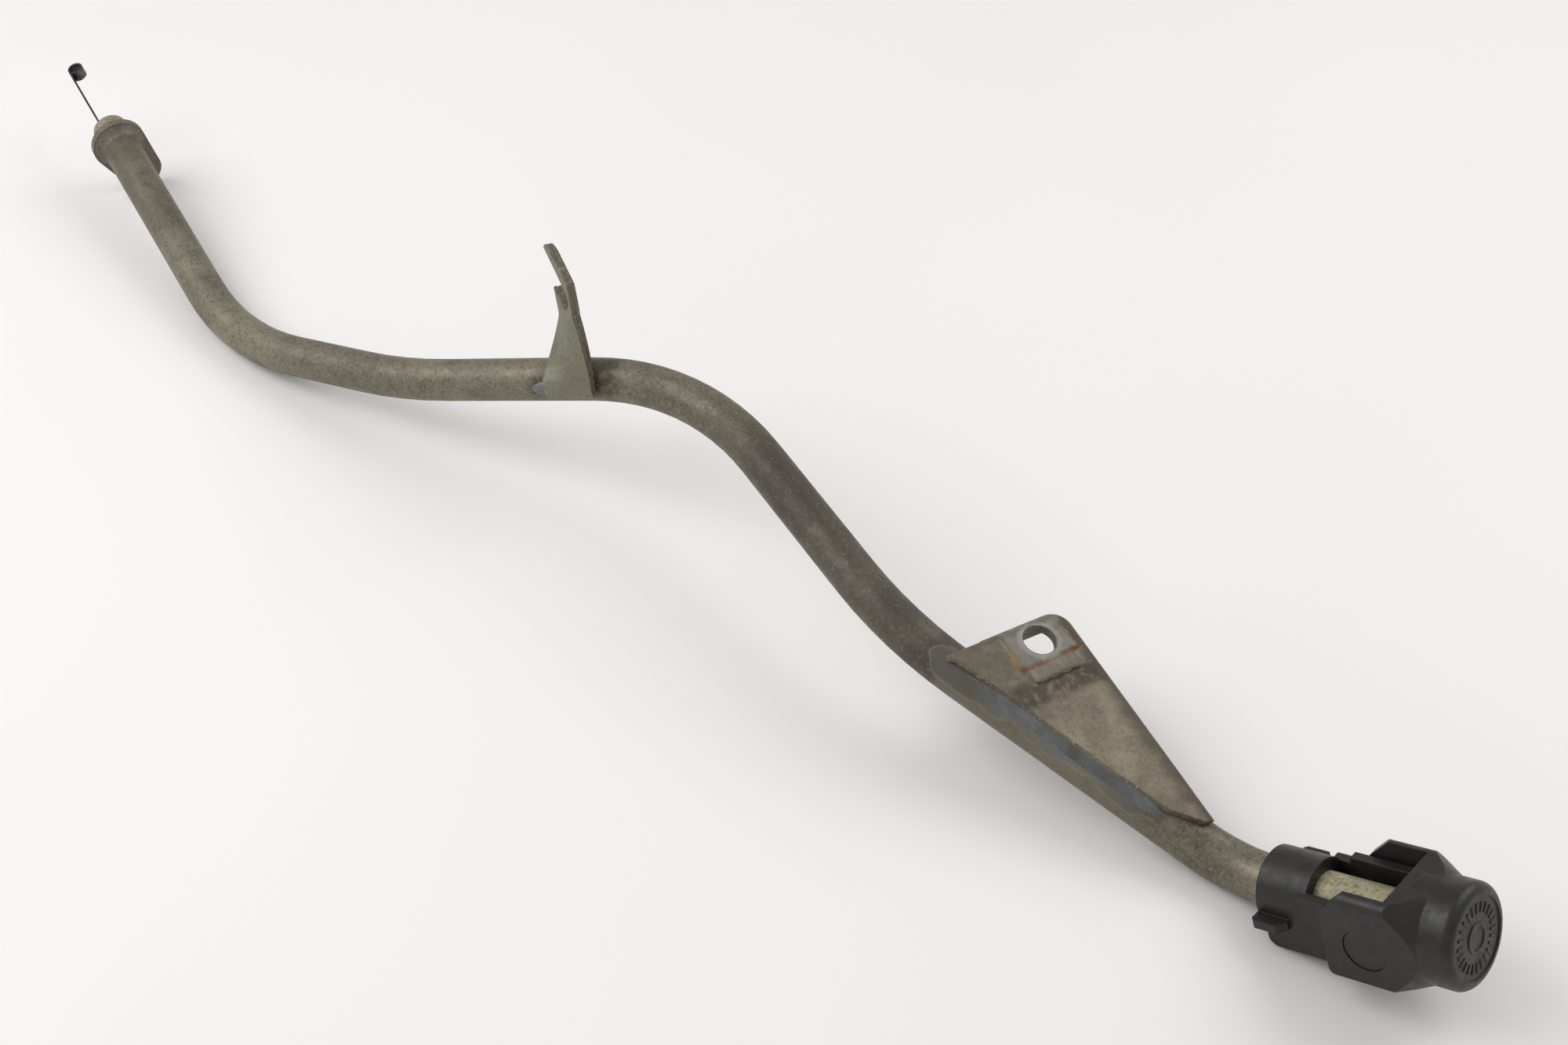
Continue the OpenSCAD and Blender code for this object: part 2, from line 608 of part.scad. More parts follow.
module dipstick_blade() {
    color("#5b5560") swept(concat(
        [for (a = [320 : -20 : 20]) curl_ring(a)],
        [first_ring(-blade_out), first_ring(5)],
        [for (k = [1 : 8]) first_ring(5 + (run_len[0] - setback(0) - 5) * k / 8)],
        [for (i = [1 : 5]) each concat(
            [for (k = [1 : 7]) bend_ring(i - 1, bend_deg[i - 1] * k / 8)],
            [for (k = [0 : 6]) run_ring(i, k / 6)])]));
}

ring_at = mouth_run - 6.5;
groove_r = bore_r - ring_d - 0.07;
module dipstick_head() {
    color("#303134") on_run(5, 0, 0) difference() {
        union() {
            bar_x(bore_r - stopper_gap, mouth_run - stopper_len, mouth_run + 0.01);
            bar_x(tube_r - 0.5, mouth_run, mouth_run + head_t);
        }
        bar_x(bore_r, ring_at - ring_d / 2 - 0.1, ring_at + ring_d / 2 + 0.1, groove_r);
        slot = [blade_stop - mouth_run + stopper_len + 1, blade_t, blade_w] + [1, 2, 2] * blade_gap;
        translate([mouth_run - stopper_len - 1, -slot[1] / 2, -slot[2] / 2]) cube(slot);
    }
}

module head_ring() {
    color("#3a2a22") on_run(5, ring_at, 0) rotate([0, 90, 0])
        rotate_extrude() translate([bore_r - ring_d / 2 - 0.02, 0]) circle(d = ring_d);
}

guide_tube();
lower_flange();
flange_braze();
mid_bracket();
mid_braze();
upper_bracket();
upper_braze();
cap_collar();
flip_cap();
cap_seal();
dipstick_blade();
dipstick_head();
head_ring();
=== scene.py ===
"""Looks of an oil dipstick in its bent steel guide tube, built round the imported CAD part.

Metres, in the part's own frame: +X from the spigot end to the cap end, +Z up.
"""

import math

import bpy
import numpy as np
from mathutils import Matrix, Vector
from mathutils.geometry import delaunay_2d_cdt


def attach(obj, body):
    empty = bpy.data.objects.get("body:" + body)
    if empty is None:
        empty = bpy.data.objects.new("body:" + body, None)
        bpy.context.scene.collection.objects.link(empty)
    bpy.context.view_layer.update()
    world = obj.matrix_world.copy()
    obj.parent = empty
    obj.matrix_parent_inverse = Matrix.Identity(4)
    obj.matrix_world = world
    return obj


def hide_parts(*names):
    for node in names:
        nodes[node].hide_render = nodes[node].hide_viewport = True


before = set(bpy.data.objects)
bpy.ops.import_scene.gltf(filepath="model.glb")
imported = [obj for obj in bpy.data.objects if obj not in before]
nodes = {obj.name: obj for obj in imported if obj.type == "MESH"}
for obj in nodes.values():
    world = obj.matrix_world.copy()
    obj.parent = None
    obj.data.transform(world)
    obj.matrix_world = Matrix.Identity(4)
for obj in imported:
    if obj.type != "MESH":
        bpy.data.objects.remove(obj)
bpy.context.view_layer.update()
MM = 0.001

# The tube's runs in millimetres and degrees, as in the part's source
RUNS = (144.0, 87.5, 120.0, 121.5, 123.5, 60.5)
BENDS = (33.0, 12.0, 44.0, 21.0, 36.0)
ROLLS = (-14.0, -165.5, 132.5, 106.5)
TUBE_R = 7.5


def turned(vector, axis, degrees):
    """Vector turned about a unit axis."""
    return Matrix.Rotation(math.radians(degrees), 3, axis) @ vector


def tube_chain():
    """Corner, heading and bend normal of each run: a heading is the last one turned about the normal."""
    yaw, pitch = math.radians(-17.0), math.radians(-8.09)
    corner = Vector((-297.72, 11.11, 25.02))
    heading = Vector((math.cos(pitch) * math.cos(yaw), math.cos(pitch) * math.sin(yaw), math.sin(pitch)))
    normal = turned(heading.cross(Vector((0, 0, 1))).normalized(), heading, -53.57)
    runs = []
    for i, length in enumerate(RUNS):
        runs.append((corner.copy(), heading.copy(), normal.copy()))
        corner = corner + heading * length
        if i < 5:
            heading = turned(heading, normal, BENDS[i])
        if i < 4:
            normal = turned(normal, heading, ROLLS[i])
    return runs


CHAIN = tube_chain()


def station(run, at, clock):
    """Matrix of a place on a run: x along the tube, z at the clock angle from the bend's normal, in mm."""
    corner, heading, normal = CHAIN[run]
    z = turned(normal, heading, clock)
    y = z.cross(heading)
    made = Matrix((heading, y, z)).transposed().to_4x4()
    made.translation = corner + heading * at
    return made


HOOK_SEAT = station(2, 74.5, -154.5)
PLATE_SEAT = station(4, 0, -97.5)

# Shapes in millimetres, written in a station's own axes

def smooth(value):
    """Share of the way from 0 to 1, slow at both ends."""
    v = np.clip(value, 0.0, 1.0)
    return v * v * (3 - 2 * v)


def waves(length, wave, seed, count=5):
    """Sum of sines of falling size over a length, about one unit high, in place of random wear."""
    made = np.zeros_like(length)
    for k in range(count):
        made += np.sin(length * 2 * math.pi / wave * 1.7 ** k + seed * (k + 1.3)) * 0.62 ** k
    return made / 2


def new_piece(name, points, faces, spot, material, body, stands_for, slot, edge=None, flats=0):
    """Object from points in a station's axes, riding a body in place of a CAD node.

    With an edge material, that one goes on all faces after the first flats.
    """
    flat = np.c_[np.asarray(points, float), np.ones(len(points))] @ np.array(spot).T
    mesh = bpy.data.meshes.new(name)
    mesh.from_pydata((flat[:, :3] * MM).tolist(), [], [list(map(int, face)) for face in faces])
    mesh.update()
    mesh.polygons.foreach_set("use_smooth", [True] * len(mesh.polygons))
    mesh.materials.append(material)
    if edge:
        mesh.materials.append(edge)
        mesh.polygons.foreach_set("material_index", [int(k >= flats) for k in range(len(faces))])
    piece = bpy.data.objects.new(name, mesh)
    bpy.context.scene.collection.objects.link(piece)
    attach(piece, body)
    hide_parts(stands_for)
    return piece


def grid_faces(rows, columns, closed=False):
    """Quads of a net of points, rows by columns, joined round each row if closed."""
    last = columns if closed else columns - 1
    return [(i * columns + k, i * columns + (k + 1) % columns, (i + 1) * columns + (k + 1) % columns,
             (i + 1) * columns + k) for i in range(rows - 1) for k in range(last)]


def resampled(loop, spacing):
    """Closed loop with extra points, so that no two neighbours are further apart than a spacing."""
    made = []
    for a, b in zip(loop, np.roll(loop, -1, axis=0)):
        parts = max(1, int(math.ceil(np.linalg.norm(b - a) / spacing)))
        made += [a + (b - a) * k / parts for k in range(parts)]
    return np.array(made)


def inset(loop, depth):
    """Closed loop moved to its left by a depth, or by one depth for each point."""
    ahead = np.roll(loop, -1, axis=0) - loop
    ahead /= np.linalg.norm(ahead, axis=1, keepdims=True)
    mean = ahead + np.roll(ahead, 1, axis=0)
    mean /= np.linalg.norm(mean, axis=1, keepdims=True)
    return loop + np.c_[-mean[:, 1], mean[:, 0]] * np.reshape(depth, (-1, 1))


def inside(points, loops):
    """Whether each point lies inside an odd number of loops."""
    odd = np.zeros(len(points), bool)
    for loop in loops:
        for (x0, y0), (x1, y1) in zip(loop, np.roll(loop, -1, axis=0)):
            if y0 != y1:
                cross = (y0 > points[:, 1]) != (y1 > points[:, 1])
                odd ^= cross & (points[:, 0] < (x1 - x0) * (points[:, 1] - y0) / (y1 - y0) + x0)
    return odd


def sheet_solid(loops, spacing, form, split=0.0):
    """Points, faces and count of flat faces of a sheet cut to loops, solid on the left, carried to space.

    The form takes flat points to the middle of the sheet, and also gives the heights above and below it:
    P(x, y) + n * h, with n the unit normal of P. The wall between the two faces has rounded edges, and can
    have a split along its middle of a given depth.
    """
    loops = [resampled(np.asarray(loop, float), spacing) for loop in loops]
    soft = 0.25
    edge = np.concatenate([inset(loop, soft) for loop in loops])
    low, high = edge.min(axis=0), edge.max(axis=0)
    x, y = np.meshgrid(np.arange(low[0], high[0], spacing), np.arange(low[1], high[1], spacing * 0.87))
    x[1::2] += spacing / 2
    net = np.c_[x.ravel(), y.ravel()]
    net = net[inside(net, [inset(loop, soft) for loop in loops])]
    gap = np.min(np.linalg.norm(net[:, None] - edge[None], axis=2), axis=1)
    flat = np.concatenate([edge, net[gap > spacing * 0.5]])
    rims, start = [], 0
    for loop in loops:
        rims.append(np.arange(start, start + len(loop)))
        start += len(loop)
    sides = [(int(a), int(b)) for rim in rims for a, b in zip(rim, np.roll(rim, -1))]
    found = delaunay_2d_cdt([Vector(p) for p in flat], sides, [], 0, 1e-5)
    order = [origin[0] for origin in found[3]]
    corners = np.array([[order[k] for k in face] for face in found[2]])
    corners = corners[inside(flat[corners].mean(axis=1), [flat[rim] for rim in rims])]
    a, b = flat[corners[:, 1]] - flat[corners[:, 0]], flat[corners[:, 2]] - flat[corners[:, 0]]
    turned_back = a[:, 0] * b[:, 1] < a[:, 1] * b[:, 0]
    corners[turned_back] = corners[turned_back][:, ::-1]

    def lifted(at, share):
        step = 0.02
        middle, up, down = form(at)
        ahead = form(at + [step, 0])[0] - form(at - [step, 0])[0]
        aside = form(at + [0, step])[0] - form(at - [0, step])[0]
        normal = np.cross(ahead, aside)
        normal /= np.linalg.norm(normal, axis=1, keepdims=True)
        share = np.broadcast_to(np.reshape(share, (-1, 1)), (len(at), 1))
        return middle + normal * share * np.where(share > 0, up[:, None], down[:, None])

    points = [lifted(flat, 1.0), lifted(flat, -1.0)]
    count = len(flat)
    faces = corners.tolist() + (corners[:, ::-1] + count).tolist()
    total = 2 * count
    for loop, rim in zip(loops, rims):
        size = len(loop)
        wander = waves(np.arange(size) * spacing, 9.0, 2.0) * 0.16
        wall = [(0.07, 0.93), (0.0, 0.75)]
        if split:
            wall += [(0.0, wander + 0.16), (split, wander), (0.0, wander - 0.16)]
        wall += [(0.0, -0.75), (0.07, -0.93)]
        rows = [rim]
        for depth, share in wall:
            points.append(lifted(inset(loop, depth), share))
            rows.append(np.arange(total, total + size))
            total += size
        rows.append(rim + count)
        for a, b in zip(rows, rows[1:]):
            faces += [(a[k], b[k], b[(k + 1) % size], a[(k + 1) % size]) for k in range(size)]
    return np.concatenate(points), faces, 2 * len(corners)


# Middle bracket

HOOK = {"mid": 9.0, "rise": 23.1, "lean": 0.8, "taper": 5.8, "twist": 39.7, "tilt": 7.5}


def hook_form(at):
    """Sheet that wraps the tube, then climbs, leans and twists evenly, and tilts at the fork."""
    w, s = at[:, 0], at[:, 1]
    wrap = np.minimum(s, 0) / HOOK["mid"]
    share = np.clip(s / (HOOK["rise"] - 1), 0, 1)
    twist = np.radians(HOOK["twist"]) * share
    past = s - HOOK["rise"]
    v = np.clip((past + 4) / 8, 0, 1)
    tilt = math.radians(HOOK["tilt"])
    out = math.sin(tilt) * (8 * (v ** 3 - v ** 4 / 2) + np.maximum(past - 4, 0))
    climb = np.where(past > 0, HOOK["rise"] + past * math.cos(tilt), np.maximum(s, 0))
    x = HOOK["lean"] * share + w * np.cos(twist) - out * np.sin(twist)
    y = climb + HOOK["mid"] * np.sin(wrap)
    z = HOOK["mid"] * np.cos(wrap) + w * np.sin(twist) + out * np.cos(twist)
    return np.c_[x, y, z], np.full(len(at), 1.5), np.full(len(at), 1.5)


def hook_loop():
    """Flat outline of the middle bracket: foot, shank, and a fork of a short and a long arm."""
    half, tilt = 3.1, math.radians(45.8)
    ahead = np.array([-math.cos(tilt), math.sin(tilt)])
    aside = np.array([math.sin(tilt), math.cos(tilt)])
    root = np.array([4.3, HOOK["rise"] + 4.3])

    def fork(u, v):
        return root + ahead * u + aside * v

    tip, top = 22.7, HOOK["rise"]
    bend = [root + half * (aside * math.cos(a) - ahead * math.sin(a)) for a in np.linspace(0.0, math.pi, 15)]
    foot = [(-9.4, 0), (-9.2, -5.1), (-8.9, -5.9), (-8.1, -6.28), (8.7, -6.28), (9.6, -5.9), (10, -5.1)]
    arms = [fork(0.8, half + 4), fork(tip - 7, half + 3.8), fork(tip - 4.5, half + 3.5),
            fork(tip - 2.2, half + 2.85), fork(tip - 0.7, half + 2.15), fork(tip, half + 1.3), fork(tip, half)]
    short = [fork(9.9, -half), fork(9.9, -half - 0.8), (HOOK["taper"] - 10, top)]
    return [foot + [(10, top)] + arms + bend + short]


# Upper bracket

PLATE = {"at": 17.0, "run": 93.5, "reach": 36.3, "corner": 6.8, "rim": 4.0, "depth": 10.0, "thick": 2.0}
HOLE = np.array([36.3, 20.4])
SEAM = -3.5
CORNER = np.array([HOLE[0] + 0.9, PLATE["reach"] - PLATE["corner"]])


def heading_past(point, side):
    """Heading in radians of the line from a point that passes the rounded corner at one side."""
    way = CORNER - point
    return math.atan2(way[1], way[0]) + side * math.asin(PLATE["corner"] / math.hypot(*way))


LEFT_FOOT = np.array([PLATE["at"], SEAM])
BACK_FOOT = np.array([PLATE["at"] + PLATE["run"], 5.0])
LEFT = heading_past(LEFT_FOOT, 1)
BACK = heading_past(BACK_FOOT, -1)
LEFT_WAY = np.array([math.cos(LEFT), math.sin(LEFT)])
LEFT_OUT = np.array([-LEFT_WAY[1], LEFT_WAY[0]])
BACK_WAY = np.array([math.cos(BACK), math.sin(BACK)])
BACK_OUT = np.array([BACK_WAY[1], -BACK_WAY[0]])
KNEE = PLATE["corner"] - PLATE["rim"]


def box_share(u, v, low_u, high_u, low_v, high_v, soft):
    """1 in a box and 0 beyond a soft edge round it."""
    return (smooth((u - low_u) / soft + 0.5) * smooth((high_u - u) / soft + 0.5)
            * smooth((v - low_v) / soft + 0.5) * smooth((high_v - v) / soft + 0.5))


def plate_form(at):
    """Pressed sheet: flat inside the knee, then a round bend of 90 degrees and a straight rim.

    For a distance d past the knee and a bend of middle radius r, the sheet goes out by r sin(d / r)
    and down by r (1 - cos(d / r)). A pad stands up about the hole, and slopes off to a step below it.
    """
    rel = at - CORNER
    past_left, past_back = rel @ LEFT_WAY, rel @ BACK_WAY
    to_left, to_back = rel @ LEFT_OUT - KNEE, rel @ BACK_OUT - KNEE
    far = np.linalg.norm(rel, axis=1)
    round_part = (past_left > 0) & (past_back > 0)
    left_part = ~round_part & ((past_back > 0) | ((past_left <= 0) & (to_left >= to_back)))
    d = np.where(round_part, far - KNEE, np.where(left_part, to_left, to_back))
    out = np.where(round_part[:, None], rel / np.maximum(far, 1e-6)[:, None],
                   np.where(left_part[:, None], LEFT_OUT, BACK_OUT))
    r = PLATE["rim"] - PLATE["thick"] / 2
    past = np.maximum(d, 0)
    angle = np.minimum(past / r, math.pi / 2)
    plan = at - out * (past - r * np.sin(angle))[:, None]
    drop = r * (1 - np.cos(angle)) + np.maximum(past - r * math.pi / 2, 0)
    u, v = (at - HOLE) @ LEFT_WAY, (at - HOLE) @ LEFT_OUT
    fade = 1 - smooth(past / 2.5)
    pad = box_share(u, v, -11.5, 10.8, -6.7, 6.6, 1.1)
    slope = box_share(u, v, -10.5, 7.5, -12.4, -6.0, 1.0) * (0.75 - 0.03 * (-6.0 - v))
    crease = box_share(u, v, -10.5, 6.5, -13.2, -12.7, 0.6)
    dents = 0.12 * waves(at[:, 0], 23.0, 1.0) * waves(at[:, 1], 17.0, 4.0)
    up = 1 + fade * (np.maximum(1.2 * pad, 0.9 * slope) - 0.45 * crease + 0.5 * dents)
    return np.c_[plan, 8.5 - drop], up, np.full(len(at), 1.0)


def plate_loops():
    """Flat outline of the upper bracket with its rim laid out, and the bolt hole."""
    r = PLATE["rim"] - PLATE["thick"] / 2
    whole = r * math.pi / 2 + PLATE["depth"] - PLATE["rim"]
    short = 2.6

    def rim(way, out, backs):
        """Points along a side, each some way back from the corner, with the rim cut short near the tube."""
        made = []
        for back in backs:
            knee = CORNER - way * back + out * KNEE
            clear = smooth((knee[1] + 4 * out[1] - 9.0) / 2.0)
            made.append(knee + out * (short + (whole - short) * clear))
        return made

    left_len = float((CORNER - LEFT_FOOT) @ LEFT_WAY)
    back_len = float((CORNER - BACK_FOOT) @ BACK_WAY)
    first = math.atan2(BACK_OUT[1], BACK_OUT[0])
    last = math.atan2(LEFT_OUT[1], LEFT_OUT[0]) % (2 * math.pi)
    bend = [CORNER + (KNEE + whole) * np.array([math.cos(a), math.sin(a)])
            for a in np.linspace(first, last, 22)[1:-1]]
    left_in = LEFT_FOOT - LEFT_OUT * 4.5
    start = left_in + LEFT_WAY * (SEAM - left_in[1]) / LEFT_WAY[1]
    seam_end = np.array([PLATE["at"] + PLATE["run"] - 12.5, SEAM])
    outer = [start, seam_end, BACK_FOOT - BACK_OUT * 4.5]
    outer += rim(BACK_WAY, BACK_OUT, np.linspace(back_len, 0, 90))
    outer += bend
    outer += rim(LEFT_WAY, LEFT_OUT, np.linspace(0, left_len, 50))
    hole = [HOLE + 5.25 * np.array([math.cos(a), -math.sin(a)]) for a in np.linspace(0, 2 * math.pi, 49)[:-1]]
    return [outer, hole]


# Brazing metal

def flange_fillet(steps=97, rows=14):
    """Hollow fillet from the flange down to the tube: r = R + h (1 - t)^2.2, with a ripple round it."""
    points = []
    for a in np.radians(np.linspace(360, 0, steps)):
        lift = 0.10 * math.sin(9 * a) * math.sin(5 * a + 1)
        for t in np.linspace(0, 1, rows):
            radius = TUBE_R - 0.03 + (2.9 + lift) * (1 - t) ** 2.2
            points.append((12.0 + 4.2 * t, -radius * math.sin(a), radius * math.cos(a)))
    return points, grid_faces(steps, rows)


def foot_bead(steps=30, rows=22):
    """Flattened drop of metal at one end of the middle bracket's foot: its height falls as sqrt(1 - t^2)."""
    points = []
    for i in range(steps):
        a = math.radians(2 + 41 * i / (steps - 1))
        edge = math.sin(math.pi * i / (steps - 1)) ** 0.6
        for t in np.linspace(0, 1, rows):
            lift = 1.25 * edge * math.sqrt(max(0.0, 1 - t * t)) + 0.12 * math.sin(7 * t + 5 * a) * (1 - t) - 0.03
            points.append((-9.6 - 6.4 * t * edge, -(TUBE_R + lift) * math.sin(a), (TUBE_R + lift) * math.cos(a)))
    return points, grid_faces(steps, rows)


def seam_bead(steps=400, rows=12):
    """Hollow bead along the bracket's seam, from its top edge down to the tube, with a fine ripple.

    Its height over the tube is a falling parabola across the bead, and it eases in from nothing at both ends.
    """
    points = []
    for i in range(steps):
        x = 24.2 + 73.3 * i / (steps - 1)
        rise = min(1.0, i / 90, (steps - 1 - i) / 40)
        ends = rise * rise * (3 - 2 * rise)
        for t in np.linspace(0, 1, rows):
            y = -3.3 - 2.3 * t
            ripple = 0.07 * math.sin(x * 4.8 + 2.0 * math.sin(x / 3.1)) * math.sin(math.pi * t)
            high = math.sqrt(TUBE_R ** 2 - y * y) + (1.9 * (1 - t) ** 2 + ripple) * ends
            points.append((x, y, high - 0.06 * (1 - ends) - 0.02))
    return points, grid_faces(steps, rows)


# Nodes for materials

def srgb(code, alpha=1.0):
    """Hex sRGB colour as linear red, green, blue and alpha."""
    parts = [int(code[i:i + 2], 16) / 255 for i in (1, 3, 5)]
    return tuple(c / 12.92 if c <= 0.04045 else ((c + 0.055) / 1.055) ** 2.4 for c in parts) + (alpha,)


def add(tree, kind, links=None, values=None, **settings):
    """Adds a node of a kind with its settings, socket values and incoming links."""
    made = tree.nodes.new("ShaderNode" + kind)
    for key, value in settings.items():
        setattr(made, key, value)
    for key, value in (values or {}).items():
        made.inputs[key].default_value = value
    for key, socket in (links or {}).items():
        tree.links.new(socket, made.inputs[key])
    return made


def ramp(tree, factor, stops, smooth=False):
    """Colour ramp through (position, hex colour) stops."""
    made = add(tree, "ValToRGB", {"Fac": factor})
    made.color_ramp.interpolation = "EASE" if smooth else "LINEAR"
    band = made.color_ramp.elements
    while len(band) < len(stops):
        band.new(1.0)
    for element, (position, code) in zip(band, stops):
        element.position = position
        element.color = srgb(code)
    return made.outputs["Color"]


def surface(name, **sockets):
    """Empty material with a Principled shader whose sockets are set, and its node tree."""
    material = bpy.data.materials.new(name)
    material.use_nodes = True
    tree = material.node_tree
    shader = tree.nodes["Principled BSDF"]
    for key, value in sockets.items():
        shader.inputs[key.replace("_", " ")].default_value = value
    return material, tree, shader


def place(tree):
    """Object coordinates, which are the part's own metres."""
    return add(tree, "TexCoord").outputs["Object"]


def noise(tree, where, size_mm, detail=3.0, rough=0.55, distort=0.0):
    """Noise with features of about a size in millimetres."""
    made = add(tree, "TexNoise", {"Vector": where},
               {"Scale": 1000 / size_mm, "Detail": detail, "Roughness": rough, "Distortion": distort})
    return made.outputs["Fac"]


def remap(tree, value, low, high, to_low=0.0, to_high=1.0, smooth=True):
    """Value taken from one range to another and held inside it."""
    made = add(tree, "MapRange", {"Value": value},
               {"From Min": low, "From Max": high, "To Min": to_low, "To Max": to_high},
               interpolation_type="SMOOTHSTEP" if smooth else "LINEAR")
    return made.outputs["Result"]


def maths(tree, operation, a, b):
    """One sum of two sockets or numbers."""
    made = add(tree, "Math", operation=operation)
    for k, term in enumerate((a, b)):
        if isinstance(term, (int, float)):
            made.inputs[k].default_value = term
        else:
            tree.links.new(term, made.inputs[k])
    return made.outputs["Value"]


def blend(tree, factor, a, b):
    """Mix of two colours, each a hex code or a socket."""
    made = add(tree, "Mix", data_type="RGBA")
    if isinstance(factor, float):
        made.inputs[0].default_value = factor
    else:
        tree.links.new(factor, made.inputs[0])
    for k, term in ((6, a), (7, b)):
        if isinstance(term, str):
            made.inputs[k].default_value = srgb(term)
        else:
            tree.links.new(term, made.inputs[k])
    return made.outputs[2]


def near(tree, where, point_mm, inner_mm, outer_mm):
    """Mask that is 1 within an inner radius of a point and 0 beyond an outer one."""
    made = add(tree, "VectorMath", {0: where}, operation="DISTANCE")
    made.inputs[1].default_value = tuple(Vector(point_mm) * MM)
    return remap(tree, made.outputs["Value"], inner_mm * MM, outer_mm * MM, 1.0, 0.0)


def along(tree, where, origin_mm, direction):
    """Distance in metres past a point along a direction."""
    shifted = add(tree, "VectorMath", {0: where}, operation="SUBTRACT")
    shifted.inputs[1].default_value = tuple(Vector(origin_mm) * MM)
    made = add(tree, "VectorMath", {0: shifted.outputs["Vector"]}, operation="DOT_PRODUCT")
    made.inputs[1].default_value = tuple(direction)
    return made.outputs["Value"]


def between(tree, value, low_mm, high_mm, soft_mm):
    """Mask that is 1 between two distances and fades over a soft edge outside them."""
    rise = remap(tree, value, (low_mm - soft_mm) * MM, low_mm * MM)
    fall = remap(tree, value, high_mm * MM, (high_mm + soft_mm) * MM, 1.0, 0.0)
    return maths(tree, "MULTIPLY", rise, fall)


def bump(tree, shader, height, strength, depth_mm):
    """Relief on a shader from a height socket."""
    made = add(tree, "Bump", {"Height": height}, {"Strength": strength, "Distance": depth_mm * MM})
    tree.links.new(made.outputs["Normal"], shader.inputs["Normal"])
    return made


def dress(material, *names):
    """Gives CAD nodes a material in every slot."""
    for name in names:
        mesh = nodes[name].data
        mesh.materials.clear()
        mesh.materials.append(material)


# Materials

def zinc_colour(tree, where, light="#8a8470", mid="#706b5a", dark="#524a40", grit=1.0):
    """Stained zinc: broad patches of tan and olive, smaller dark stains, and fine pale and dark specks."""
    broad = noise(tree, where, 34, 4.0, 0.55, 0.3)
    colour = ramp(tree, broad, [(0.25, dark), (0.48, mid), (0.75, light)])
    stain = remap(tree, noise(tree, where, 6, 6.0, 0.65, 0.8), 0.50, 0.70)
    colour = blend(tree, maths(tree, "MULTIPLY", stain, 0.55), colour, dark)
    speck = noise(tree, where, 1.1, 3.0, 0.75)
    colour = blend(tree, maths(tree, "MULTIPLY", remap(tree, speck, 0.53, 0.68), 0.7 * grit), colour, light)
    colour = blend(tree, maths(tree, "MULTIPLY", remap(tree, speck, 0.49, 0.34), 0.6 * grit), colour, "#3f382f")
    worn = remap(tree, noise(tree, where, 3, 6.0, 0.75), 0.56, 0.68, 0.0, 0.35)
    return blend(tree, worn, colour, light)


def zinc_finish(tree, shader, where, film=None):
    """Uneven sheen and a fine pitted relief; under a film the sheen fades."""
    patch = noise(tree, where, 9, 4.0)
    tree.links.new(remap(tree, patch, 0.35, 0.65, 0.42, 0.62), shader.inputs["Roughness"])
    sheen = remap(tree, patch, 0.35, 0.65, 0.45, 0.2)
    if film is not None:
        sheen = maths(tree, "MULTIPLY", sheen, remap(tree, film, 0, 1, 1.0, 0.3))
    tree.links.new(sheen, shader.inputs["Metallic"])
    grain = noise(tree, where, 0.5, 3.0, 0.7)
    bump(tree, shader, maths(tree, "ADD", grain, noise(tree, where, 2.5, 3.0)), 0.35, 0.12)


